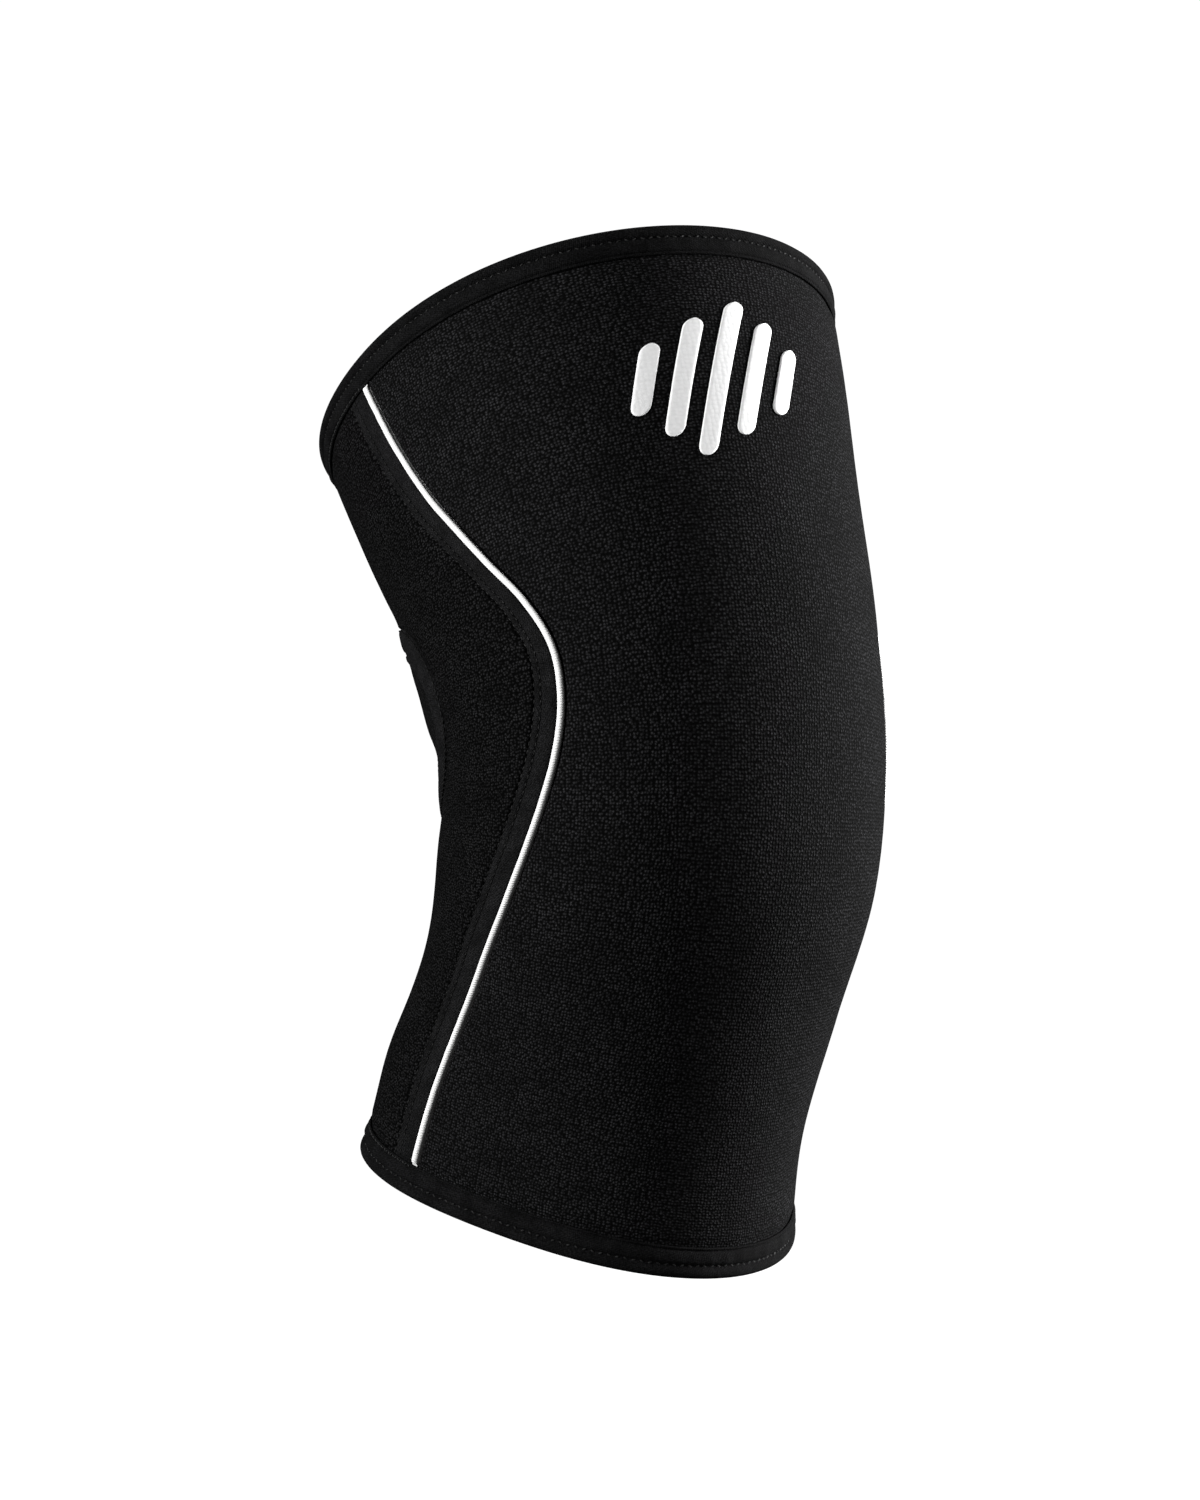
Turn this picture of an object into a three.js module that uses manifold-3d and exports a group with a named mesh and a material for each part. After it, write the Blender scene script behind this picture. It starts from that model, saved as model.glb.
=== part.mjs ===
// A pull-on knee sleeve in the bent shape that it has on a leg, hollow and open at both ends.
// Millimetres. +Z is up the leg, the front is -Y, and the plane X = 0 is its plane of symmetry.
// The origin is the middle of the leg at knee height.

import * as THREE from "three";
import Module from "manifold-3d";

const wasm = await Module();
wasm.setup();

// Driving dimensions
const sleeve_height = 237; // from the middle of the bottom rim to the middle of the top rim
const knee_radius = 63.8;
const knee_share = 0.487; // how far up the sleeve the kneecap is
const wall = 5;
const gap = 0.3; // the clearance between any two pieces
const joint_gap = 0.3; // where the two panels meet under a cord

const cord_width = 2;
const cord_proud = 0.9;
const cord_depth = 2.6;
const strip_width = 8;
const strip_proud = 0.4;
const strip_depth = 1.6;

const binding_width = 9;
const binding_inside_width = 8;
const binding_proud = 0.8;
const leaf = 1.2; // the thickness of a binding's two leaves and of its turned edge

const window_share = 0.585; // how far up the sleeve the window at the hollow of the knee is centred
const window_half_share = 0.2;
const window_half_angle = 78.5;
const insert_band_width = 9;
const insert_band_proud = 0.9;
const insert_band_depth = 4.6;
const insert_top = 0.3;
const insert_thickness = 2.5;

const bar_thickness = 0.5;
const bar_share = 0.83; // how far up the sleeve the print is centred
const print_angle = -6; // degrees round from the front midline to its middle
const bar_width = 6;
const bar_pitch = 11;
const bar_lean = 20; // degrees

// How finely the curves are drawn
const rows_between_bindings = 22;
const panel_columns = 22;
const binding_segments = 48;
const loop_segments = 40;
const disc_rings = 4;

// The sections of the leg, each a closed curve in its own tilted plane.
// share: how far up, 0 to 1. setback: how far back its middle is, as a share of the height.
// tilt: degrees by which its front edge is raised.
// radius, oval, peak: shares of the knee's radius. oval deepens it and peak sharpens the front.
const sections = table(
  ["share", "setback", "tilt", "radius", "oval", "peak"],
  [
    [0.0, 0.149, -20.4, 0.98, 0.006, 0.06],
    [0.125, 0.11, -19.2, 0.943, 0.011, 0.052],
    [0.25, 0.054, -15.8, 0.933, 0.02, 0.008],
    [0.375, 0.011, -8.7, 0.98, 0.028, -0.017],
    [0.5, 0.0, 1.5, 1.0, 0.034, -0.024],
    [0.625, 0.025, 11.7, 1.043, 0.037, -0.009],
    [0.75, 0.069, 19.3, 1.086, 0.054, -0.01],
    [0.875, 0.128, 22.6, 1.162, 0.078, -0.008],
    [1.0, 0.194, 21.8, 1.226, 0.126, -0.018],
  ],
);

// The course of a side seam. angle: degrees round from the front midline to the cord's middle.
// strip: the width of the stitched strip behind the cord, as a share of strip_width.
const seam = table(
  ["share", "angle", "strip"],
  [
    [0.0, 88.3, 1.02],
    [0.1, 87.4, 1.0],
    [0.2, 84.1, 1.12],
    [0.28, 78.9, 1.2],
    [0.35, 72.2, 1.19],
    [0.4, 67.2, 1.13],
    [0.45, 62.3, 1.06],
    [0.5, 57.9, 1.01],
    [0.55, 55.2, 0.93],
    [0.6, 55.6, 0.82],
    [0.65, 61.0, 0.72],
    [0.7, 69.1, 0.7],
    [0.75, 76.2, 0.84],
    [0.8, 82.1, 1.0],
    [0.87, 87.3, 1.13],
    [0.95, 91.7, 1.27],
    [1.0, 93.9, 1.35],
  ],
);

// The bars of the print from left to right. length is a share of the longest.
const longest_bar = 46;
const bars = table(
  ["name", "length"],
  [
    ["print_bar_1", 0.45],
    ["print_bar_2", 0.75],
    ["print_bar_3", 1.0],
    ["print_bar_4", 0.75],
    ["print_bar_5", 0.45],
  ],
);

function table(columns, rows) {
  return rows.map((row) => Object.fromEntries(columns.map((name, i) => [name, row[i]])));
}

function radians(degrees) {
  return (degrees * Math.PI) / 180;
}

// The value of a table's column at a share, on a smooth curve through the rows.
function along(rows, column, share) {
  const last = rows.length - 1;
  const step = (i, j) => (rows[j][column] - rows[i][column]) / (rows[j].share - rows[i].share);
  if (share <= rows[0].share) {
    return rows[0][column] + (share - rows[0].share) * step(0, 1);
  }
  if (share >= rows[last].share) {
    return rows[last][column] + (share - rows[last].share) * step(last - 1, last);
  }
  const k = rows.findIndex((row, i) => i > 0 && share <= row.share) - 1;
  const width = rows[k + 1].share - rows[k].share;
  const start_slope = step(Math.max(k - 1, 0), k + 1);
  const end_slope = step(k, Math.min(k + 2, last));
  const t = (share - rows[k].share) / width;
  const u = 1 - t;
  return (
    rows[k][column] * (1 + 2 * t) * u * u +
    rows[k + 1][column] * (3 - 2 * t) * t * t +
    width * start_slope * t * u * u -
    width * end_slope * u * t * t
  );
}

// A point of the sleeve's outer face. share runs up the sleeve, angle in degrees round from the front to +X.
function outer_face(share, angle) {
  const turn = radians(angle);
  const tilt = radians(along(sections, "tilt", share));
  const shape =
    along(sections, "radius", share) +
    along(sections, "oval", share) * Math.cos(2 * turn) +
    along(sections, "peak", share) * Math.cos(3 * turn);
  const radius = knee_radius * shape;
  const forward = radius * Math.cos(turn);
  return new THREE.Vector3(
    radius * Math.sin(turn),
    sleeve_height * along(sections, "setback", share) - forward * Math.cos(tilt),
    sleeve_height * (share - knee_share) + forward * Math.sin(tilt),
  );
}

// Millimetres along the outer face for one step of share, and for one degree of angle.
function per_share(share, angle) {
  const step = 0.001;
  return outer_face(share + step, angle).distanceTo(outer_face(share - step, angle)) / (2 * step);
}

function per_degree(share, angle) {
  return outer_face(share, angle + 0.5).distanceTo(outer_face(share, angle - 0.5));
}

// A point at a depth below the outer face. A negative depth stands proud of it.
function place(share, angle, depth) {
  const up = outer_face(share + 0.002, angle).sub(outer_face(share - 0.002, angle));
  const round = outer_face(share, angle + 0.5).sub(outer_face(share, angle - 0.5));
  const out = new THREE.Vector3().crossVectors(round, up).normalize();
  return outer_face(share, angle).addScaledVector(out, -depth);
}

// The share at a distance in from a rim, measured along the face.
function from_rim(top, distance, angle) {
  const rim = top ? 1 : 0;
  const inward = top ? -1 : 1;
  return rim + (inward * distance) / per_share(rim, angle);
}

// The rows on which the panels, cords and strips are drawn. A pressed row is held in a binding.
const panel_end = leaf + gap;
const pressed_end = binding_width + gap;
const free_start = pressed_end + 0.4;

function rim_row(top, distance) {
  const nominal = from_rim(top, distance, 90);
  return { nominal, pressed: true, share: (angle) => from_rim(top, distance, angle) };
}

function free_row(part) {
  const share = (angle) => {
    const low = from_rim(false, free_start, angle);
    const high = from_rim(true, free_start, angle);
    return low + part * (high - low);
  };
  return { nominal: share(90), pressed: false, share };
}

const rows = [rim_row(false, panel_end), rim_row(false, pressed_end)];
for (let i = 0; i <= rows_between_bindings; i += 1) {
  rows.push(free_row(i / rows_between_bindings));
}
rows.push(rim_row(true, pressed_end), rim_row(true, panel_end));

// The depths between which a pressed row lies, inside a binding's leaves.
const pressed_outer = leaf - binding_proud + gap;
const pressed_inner = wall + binding_proud - leaf - gap;

// The angle of a line beside a cord's middle, a distance behind it, on the +X side.
function beside_cord(row, distance) {
  const share = row.nominal;
  const angle = along(seam, "angle", share);
  const step = 0.01;
  const drift = (along(seam, "angle", share + step) - along(seam, "angle", share - step)) / (2 * step);
  const slope = Math.atan2(drift * per_degree(share, angle), per_share(share, angle));
  return angle + distance / (per_degree(share, angle) * Math.cos(slope));
}

function strip_end(row) {
  return cord_width / 2 + gap + strip_width * along(seam, "strip", row.nominal);
}

// A cross-section is a closed outline of {angle, depth}. Its points are held between the leaves in a pressed row.
function ring_points(row, outline) {
  return outline.map(({ angle, depth }) => {
    const held = row.pressed ? Math.min(Math.max(depth, pressed_outer), pressed_inner) : depth;
    return place(row.share(angle), angle, held);
  });
}

// Two triangles for a four-sided face, split along its shorter diagonal so that touching faces bend alike.
function split_quad(points, [a, b, c, d]) {
  if (points[a].distanceTo(points[c]) <= points[b].distanceTo(points[d])) {
    return [[a, b, c], [a, c, d]];
  }
  return [[a, b, d], [b, c, d]];
}

// Joins rings of points with faces. An open run of rings gets a cap at each end.
function sweep(rings, closed, end_outlines) {
  const count = rings[0].length;
  const points = rings.flat();
  const faces = [];
  const spans = closed ? rings.length : rings.length - 1;
  for (let i = 0; i < spans; i += 1) {
    const a = i * count;
    const b = ((i + 1) % rings.length) * count;
    for (let j = 0; j < count; j += 1) {
      const k = (j + 1) % count;
      faces.push(...split_quad(points, [a + j, a + k, b + k, b + j]));
    }
  }
  if (!closed) {
    const last = (rings.length - 1) * count;
    for (const [i, j, k] of cap_faces(end_outlines[0])) {
      faces.push([k, j, i]);
    }
    for (const [i, j, k] of cap_faces(end_outlines[1])) {
      faces.push([last + i, last + j, last + k]);
    }
  }
  return { points, faces };
}

// The triangles of a flat outline, turning the same way as the outline does.
function cap_faces(outline) {
  const turns = THREE.ShapeUtils.area(outline) > 0;
  const faces = THREE.ShapeUtils.triangulateShape(outline, []);
  return faces.map(([i, j, k]) => {
    const two_areas =
      (outline[j].x - outline[i].x) * (outline[k].y - outline[i].y) -
      (outline[k].x - outline[i].x) * (outline[j].y - outline[i].y);
    return two_areas > 0 === turns ? [i, j, k] : [k, j, i];
  });
}

function volume({ points, faces }) {
  const cross = new THREE.Vector3();
  let total = 0;
  for (const [i, j, k] of faces) {
    total += cross.crossVectors(points[j], points[k]).dot(points[i]) / 6;
  }
  return total;
}

function facing_out(body) {
  if (volume(body) > 0) {
    return body;
  }
  return { points: body.points, faces: body.faces.map(([i, j, k]) => [k, j, i]) };
}

function mirrored(body) {
  return facing_out({
    points: body.points.map((point) => new THREE.Vector3(-point.x, point.y, point.z)),
    faces: body.faces,
  });
}

function seam_body(outline_of) {
  const rings = rows.map((row) => ring_points(row, outline_of(row)));
  const from_above = (ring) => ring.map((point) => new THREE.Vector2(point.x, point.y));
  return facing_out(sweep(rings, false, [from_above(rings[0]), from_above(rings[rings.length - 1])]));
}

function spread(from, to, count) {
  return Array.from({ length: count + 1 }, (_, i) => from + ((to - from) * i) / count);
}

// A panel's outline from one side seam to the other. half is the edge at +X, as points across the wall from its inner face.
function panel_outline(half, turn_back) {
  const other = half.map(({ angle, depth }) => ({ angle: turn_back(angle), depth })).reverse();
  const first = half[half.length - 1];
  const outer = spread(first.angle, turn_back(first.angle), panel_columns)
    .slice(1, -1)
    .map((angle) => ({ angle, depth: 0 }));
  const inner = spread(turn_back(half[0].angle), half[0].angle, panel_columns)
    .slice(1, -1)
    .map((angle) => ({ angle, depth: wall }));
  return [...half, ...outer, ...other, ...inner];
}

function front_panel() {
  const side = -(cord_width / 2 + gap);
  return seam_body((row) => {
    const half = [
      { angle: beside_cord(row, -joint_gap / 2), depth: wall },
      { angle: beside_cord(row, -joint_gap / 2), depth: cord_depth + gap },
      { angle: beside_cord(row, side), depth: cord_depth + gap },
      { angle: beside_cord(row, side), depth: 0.8 },
      { angle: beside_cord(row, side - 1), depth: 0 },
    ];
    return panel_outline(half, (angle) => -angle);
  });
}

function back_panel_blank() {
  const side = cord_width / 2 + gap;
  return seam_body((row) => {
    const step = strip_end(row) + gap;
    const half = [
      { angle: beside_cord(row, joint_gap / 2), depth: wall },
      { angle: beside_cord(row, joint_gap / 2), depth: cord_depth + gap },
      { angle: beside_cord(row, side), depth: cord_depth + gap },
      { angle: beside_cord(row, side), depth: strip_depth + gap },
      { angle: beside_cord(row, step), depth: strip_depth + gap },
      { angle: beside_cord(row, step), depth: 0 },
    ];
    return panel_outline(half, (angle) => 360 - angle);
  });
}

function cord() {
  const half = cord_width / 2;
  return seam_body((row) => [
    { angle: beside_cord(row, -half), depth: cord_depth },
    { angle: beside_cord(row, half), depth: cord_depth },
    { angle: beside_cord(row, half), depth: 0.1 - cord_proud * 0.2 },
    { angle: beside_cord(row, half * 0.6), depth: -cord_proud * 0.8 },
    { angle: beside_cord(row, 0), depth: -cord_proud },
    { angle: beside_cord(row, -half * 0.6), depth: -cord_proud * 0.8 },
    { angle: beside_cord(row, -half), depth: 0.1 - cord_proud * 0.2 },
  ]);
}

function strip() {
  const start = cord_width / 2 + gap;
  return seam_body((row) => {
    const end = strip_end(row);
    return [
      { angle: beside_cord(row, start), depth: strip_depth },
      { angle: beside_cord(row, end), depth: strip_depth },
      { angle: beside_cord(row, end), depth: 0.1 },
      { angle: beside_cord(row, end - 0.8), depth: -strip_proud },
      { angle: beside_cord(row, (start + end) / 2), depth: -strip_proud },
      { angle: beside_cord(row, start), depth: -strip_proud },
    ];
  });
}

// A binding's cross-section, as distance in from the rim and depth. It wraps the rim from the outside to the inside.
const binding_outline = [
  [binding_width, leaf - binding_proud],
  [binding_width, 0],
  [binding_width - 1.5, -0.4 * binding_proud],
  [4, -0.9 * binding_proud],
  [1.4, -binding_proud],
  [0.3, -0.1],
  [0, 1],
  [0, wall - 1.6],
  [0.6, wall - 0.1],
  [2.2, wall + binding_proud],
  [binding_inside_width, wall + binding_proud],
  [binding_inside_width, wall + binding_proud - leaf],
  [leaf, wall + binding_proud - leaf],
  [leaf, leaf - binding_proud],
];

function binding(top) {
  const rings = spread(0, 360, binding_segments)
    .slice(0, -1)
    .map((angle) =>
      binding_outline.map(([distance, depth]) => place(from_rim(top, distance, angle), angle, depth)),
    );
  return facing_out(sweep(rings, true));
}

// A point of the window's edge moved outward by a distance. part scales it toward the middle.
function window_place(turn, outward, part, depth) {
  const half_share = window_half_share + outward / per_share(window_share, 180);
  const half_angle = window_half_angle + outward / per_degree(window_share, 180 - window_half_angle);
  const share = window_share + part * half_share * Math.sin(radians(turn));
  const angle = 180 + part * half_angle * Math.cos(radians(turn));
  return place(share, angle, depth);
}

const loop_turns = spread(0, 360, loop_segments).slice(0, -1);

// A slab with the window's outline, made of rings round its middle. Its side wall has a ring at each depth.
function window_slab(outward, depths) {
  const top = depths[0];
  const bottom = depths[depths.length - 1];
  const points = [window_place(0, 0, 0, top)];
  const faces = [];
  const levels = [];
  for (let i = 1; i < disc_rings; i += 1) {
    levels.push({ part: i / disc_rings, depth: top });
  }
  for (const depth of depths) {
    levels.push({ part: 1, depth });
  }
  for (let i = disc_rings - 1; i >= 1; i -= 1) {
    levels.push({ part: i / disc_rings, depth: bottom });
  }
  for (const { part, depth } of levels) {
    for (const turn of loop_turns) {
      points.push(window_place(turn, outward, part, depth));
    }
  }
  points.push(window_place(0, 0, 0, bottom));
  const at = (level, j) => 1 + level * loop_segments + (j % loop_segments);
  for (let j = 0; j < loop_segments; j += 1) {
    faces.push([0, at(0, j), at(0, j + 1)]);
    for (let level = 0; level < levels.length - 1; level += 1) {
      const quad = [at(level, j), at(level + 1, j), at(level + 1, j + 1), at(level, j + 1)];
      faces.push(...split_quad(points, quad));
    }
    faces.push([points.length - 1, at(levels.length - 1, j + 1), at(levels.length - 1, j)]);
  }
  return facing_out({ points, faces });
}

function knee_insert() {
  return window_slab(-insert_band_width - gap, [insert_top, insert_top + insert_thickness]);
}

function insert_band() {
  const rings = loop_turns.map((turn) => [
    window_place(turn, -gap, 1, insert_band_depth),
    window_place(turn, -gap, 1, 0.2),
    window_place(turn, -gap - 0.8, 1, -insert_band_proud),
    window_place(turn, 0.8 - insert_band_width, 1, -insert_band_proud),
    window_place(turn, -insert_band_width, 1, 0.2),
    window_place(turn, -insert_band_width, 1, insert_band_depth),
  ]);
  return facing_out(sweep(rings, true));
}

function solid({ points, faces }) {
  const mesh = new wasm.Mesh({
    numProp: 3,
    vertProperties: new Float32Array(points.flatMap((point) => point.toArray())),
    triVerts: new Uint32Array(faces.flat()),
  });
  return new wasm.Manifold(mesh);
}

function body_of(manifold) {
  const { vertProperties, triVerts, numProp } = manifold.getMesh();
  const points = [];
  for (let i = 0; i < vertProperties.length; i += numProp) {
    points.push(new THREE.Vector3(vertProperties[i], vertProperties[i + 1], vertProperties[i + 2]));
  }
  const faces = [];
  for (let i = 0; i < triVerts.length; i += 3) {
    faces.push([triVerts[i], triVerts[i + 1], triVerts[i + 2]]);
  }
  return { points, faces };
}

function back_panel() {
  const blank = solid(back_panel_blank());
  const hole = solid(window_slab(0, [-3, -insert_band_proud, 0.2, insert_band_depth, wall + 3]));
  return body_of(blank.subtract(hole));
}

// A bar of the print, laid on the front panel. Its ends are rounded by narrowing it.
function print_bar(offset, length) {
  const steps = 10;
  const half = bar_width / 2;
  const up = per_share(bar_share, 0);
  const round = per_degree(bar_share, 0);
  const top = -gap - bar_thickness;
  const rings = [];
  for (let i = 0; i <= steps; i += 1) {
    const along_bar = (length / 2) * -Math.cos((Math.PI * i) / steps);
    const to_end = length / 2 - Math.abs(along_bar);
    const inside = Math.min(to_end / half, 1);
    const half_here = half * Math.max(Math.sqrt(inside * (2 - inside)), 0.25);
    const ring = [-half_here, 0, half_here, half_here, 0, -half_here].map((across, j) => {
      const sideways = offset + across + along_bar * Math.tan(radians(bar_lean));
      const share = bar_share + along_bar / up;
      return place(share, print_angle + sideways / round, j < 3 ? top : -gap);
    });
    rings.push(ring);
  }
  const flat = [
    new THREE.Vector2(-half, 1),
    new THREE.Vector2(0, 1),
    new THREE.Vector2(half, 1),
    new THREE.Vector2(half, 0),
    new THREE.Vector2(0, 0),
    new THREE.Vector2(-half, 0),
  ];
  return facing_out(sweep(rings, false, [flat, flat]));
}

function mesh_of(name, body, color, roughness) {
  const geometry = new THREE.BufferGeometry();
  const positions = new Float32Array(body.points.flatMap((point) => point.toArray()));
  geometry.setAttribute("position", new THREE.BufferAttribute(positions, 3));
  geometry.setIndex(body.faces.flat());
  geometry.computeVertexNormals();
  const mesh = new THREE.Mesh(geometry, new THREE.MeshStandardMaterial({ color, roughness, metalness: 0 }));
  mesh.name = name;
  return mesh;
}

const knit_black = 0x141416;
const smooth_black = 0x101013;
const seam_black = 0x18181a;
const cord_white = 0xe8e8e6;

const sleeve = new THREE.Group();
sleeve.name = "knee_sleeve";
const side_cord = cord();
const side_strip = strip();
sleeve.add(
  mesh_of("front_panel", front_panel(), knit_black, 0.9),
  mesh_of("back_panel", back_panel(), smooth_black, 0.85),
  mesh_of("knee_insert", knee_insert(), seam_black, 0.9),
  mesh_of("insert_band", insert_band(), seam_black, 0.85),
  mesh_of("piping_right", side_cord, cord_white, 0.7),
  mesh_of("piping_left", mirrored(side_cord), cord_white, 0.7),
  mesh_of("seam_band_right", side_strip, seam_black, 0.85),
  mesh_of("seam_band_left", mirrored(side_strip), seam_black, 0.85),
  mesh_of("top_binding", binding(true), seam_black, 0.8),
  mesh_of("bottom_binding", binding(false), seam_black, 0.8),
);
bars.forEach(({ name, length }, i) => {
  const offset = (i - (bars.length - 1) / 2) * bar_pitch;
  sleeve.add(mesh_of(name, print_bar(offset, length * longest_bar), cord_white, 0.6));
});

export default sleeve;
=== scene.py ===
# A pull-on knee sleeve in the bent shape that it has on a leg, dressed as cloth.
# Sizes below are in millimetres, and the meshes are made in metres. The front is -Y and +Z is up the leg.

import math

import bpy
import numpy as np
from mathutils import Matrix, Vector


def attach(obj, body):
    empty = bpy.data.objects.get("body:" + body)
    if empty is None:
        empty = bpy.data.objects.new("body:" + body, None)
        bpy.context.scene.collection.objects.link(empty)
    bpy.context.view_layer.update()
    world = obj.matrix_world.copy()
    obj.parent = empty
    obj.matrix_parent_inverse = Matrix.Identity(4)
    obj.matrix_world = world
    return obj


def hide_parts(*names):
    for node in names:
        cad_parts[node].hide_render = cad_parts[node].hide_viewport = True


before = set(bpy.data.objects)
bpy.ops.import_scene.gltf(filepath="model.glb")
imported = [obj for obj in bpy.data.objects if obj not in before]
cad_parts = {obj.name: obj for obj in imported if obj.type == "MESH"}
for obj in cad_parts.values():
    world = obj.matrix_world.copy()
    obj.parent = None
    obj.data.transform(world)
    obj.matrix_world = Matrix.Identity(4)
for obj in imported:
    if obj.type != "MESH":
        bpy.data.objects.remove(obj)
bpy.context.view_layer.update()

METRES = 0.001  # in a millimetre

# Driving dimensions, as in the solids
SLEEVE_HEIGHT = 237
KNEE_RADIUS = 63.8
KNEE_SHARE = 0.487
WALL = 5
GAP = 0.3
CORD_WIDTH = 2
CORD_DEPTH = 2.6
STRIP_WIDTH = 8
STRIP_DEPTH = 1.6
BINDING_WIDTH = 9
BINDING_PROUD = 0.8
LEAF = 1.2
WINDOW_SHARE = 0.585
WINDOW_HALF_SHARE = 0.2
WINDOW_HALF_ANGLE = 78.5
INSERT_BAND_WIDTH = 9
INSERT_TOP = 0.3
INSERT_THICKNESS = 2.5
BAR_THICKNESS = 0.5
BAR_SHARE = 0.83
PRINT_ANGLE = -6
BAR_WIDTH = 6
BAR_PITCH = 11
BAR_LEAN = 20
LONGEST_BAR = 46

# Sizes of the sewing
STITCH_PITCH = 2.3
STITCH_LENGTH = 1.5
THREAD_WIDTH = 0.42
THREAD_HEIGHT = 0.24
STRIP_THREAD_WIDTH = 0.6
BINDING_STITCH_LENGTH = 1.15
BINDING_THREAD_WIDTH = 0.4
BINDING_THREAD_HEIGHT = 0.26
BINDING_STITCH_AT = 3.8  # from the rim
EDGE_STITCH_AT = 8.35  # from the rim, beside the folded edge
EDGE_STITCH_PITCH = 1.25
STRIP_SMOOTH_PART = 0.64  # the part of the strip's width in front of its first row of stitches

# Lengths of cloth that set how large the knit is drawn: down the whole front, and round for each degree
FRONT_LENGTH = 300
DEGREE_LENGTH = 1.12

# How deep the cloth's gathers, waves and ribs are
PANEL_PUCKER = 0.16  # along the side seams
PANEL_EDGE_PUCKER = 0.14  # along the bindings
PANEL_WAVE = 0.16
WINDOW_DIP = 0.5
INSERT_CREASE = 0.35
INSERT_PUCKER = 0.3
INSERT_BAND_PUCKER = 0.3
STRIP_PUCKER = 0.26
STRIP_WAVE = 0.1
CORD_RIB_DEPTH = 0.07
CORD_WAVE = 0.05
BINDING_STITCH_PUCKER = 0.16
BINDING_EDGE_PUCKER = 0.14
BINDING_WAVE = 0.12

# Small sizes of the looks
INSERT_BAND_PITCH = 2.4  # from one gather of the insert's tape to the next
CORD_RIB = 0.75  # from one rib of the cord to the next
CORD_DRAWN = 0.97  # the part of the cord's width that its cloth takes up
PRINT_SUNK = 0.25  # how far the print lies in the cloth
RELIEF = 0.0004  # metres, the depth that a material's fine relief stands for

# The sections of the leg, each a closed curve in its own tilted plane.
# share: how far up, 0 to 1. setback: how far back its middle is, as a share of the height.
# tilt: degrees by which its front edge is raised.
# radius, oval, peak: shares of the knee's radius. oval deepens it and peak sharpens the front.
SECTION_COLUMNS = ("share", "setback", "tilt", "radius", "oval", "peak")
SECTIONS = (
    (0.0, 0.149, -20.4, 0.98, 0.006, 0.06),
    (0.125, 0.11, -19.2, 0.943, 0.011, 0.052),
    (0.25, 0.054, -15.8, 0.933, 0.02, 0.008),
    (0.375, 0.011, -8.7, 0.98, 0.028, -0.017),
    (0.5, 0.0, 1.5, 1.0, 0.034, -0.024),
    (0.625, 0.025, 11.7, 1.043, 0.037, -0.009),
    (0.75, 0.069, 19.3, 1.086, 0.054, -0.01),
    (0.875, 0.128, 22.6, 1.162, 0.078, -0.008),
    (1.0, 0.194, 21.8, 1.226, 0.126, -0.018),
)

# The course of a side seam. angle: degrees round from the front midline to the cord's middle.
# strip: the width of the stitched strip behind the cord, as a share of STRIP_WIDTH.
SEAM_COLUMNS = ("share", "angle", "strip")
SEAM = (
    (0.0, 88.3, 1.02),
    (0.1, 87.4, 1.0),
    (0.2, 84.1, 1.12),
    (0.28, 78.9, 1.2),
    (0.35, 72.2, 1.19),
    (0.4, 67.2, 1.13),
    (0.45, 62.3, 1.06),
    (0.5, 57.9, 1.01),
    (0.55, 55.2, 0.93),
    (0.6, 55.6, 0.82),
    (0.65, 61.0, 0.72),
    (0.7, 69.1, 0.7),
    (0.75, 76.2, 0.84),
    (0.8, 82.1, 1.0),
    (0.87, 87.3, 1.13),
    (0.95, 91.7, 1.27),
    (1.0, 93.9, 1.35),
)

# The bars of the print from left to right. length is a share of the longest.
BARS = (
    ("print_bar_1", 0.45),
    ("print_bar_2", 0.75),
    ("print_bar_3", 1.0),
    ("print_bar_4", 0.75),
    ("print_bar_5", 0.45),
)


# The sleeve's surface


def along(columns, rows, name, share):
    """A table's column at each share, on a smooth curve through the rows."""
    at = np.array([row[0] for row in rows])
    values = np.array([row[columns.index(name)] for row in rows])
    share = np.asarray(share, float)
    k = np.clip(np.searchsorted(at, share) - 1, 0, len(at) - 2)
    before = np.maximum(k - 1, 0)
    after = np.minimum(k + 2, len(at) - 1)
    width = at[k + 1] - at[k]
    start_slope = (values[k + 1] - values[before]) / (at[k + 1] - at[before])
    end_slope = (values[after] - values[k]) / (at[after] - at[k])
    t = np.clip((share - at[k]) / width, 0, 1)
    u = 1 - t
    inside = (
        values[k] * (1 + 2 * t) * u * u
        + values[k + 1] * (3 - 2 * t) * t * t
        + width * start_slope * t * u * u
        - width * end_slope * u * t * t
    )
    first_slope = (values[1] - values[0]) / (at[1] - at[0])
    last_slope = (values[-1] - values[-2]) / (at[-1] - at[-2])
    return inside + np.minimum(share - at[0], 0) * first_slope + np.maximum(share - at[-1], 0) * last_slope


def section(name, share):
    return along(SECTION_COLUMNS, SECTIONS, name, share)


def outer_face(share, angle):
    """Points of the outer face, in millimetres. angle is in degrees, round from the front to +X."""
    share, angle = np.broadcast_arrays(np.asarray(share, float), np.asarray(angle, float))
    turn = np.radians(angle)
    tilt = np.radians(section("tilt", share))
    shape = section("radius", share)
    shape = shape + section("oval", share) * np.cos(2 * turn)
    shape = shape + section("peak", share) * np.cos(3 * turn)
    radius = KNEE_RADIUS * shape
    forward = radius * np.cos(turn)
    x = radius * np.sin(turn)
    y = SLEEVE_HEIGHT * section("setback", share) - forward * np.cos(tilt)
    z = SLEEVE_HEIGHT * (share - KNEE_SHARE) + forward * np.sin(tilt)
    return np.stack([x, y, z], -1)


def per_share(share, angle):
    """Millimetres along the face for one step of share."""
    step = outer_face(share + 0.001, angle) - outer_face(share - 0.001, angle)
    return np.linalg.norm(step, axis=-1) / 0.002


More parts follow.
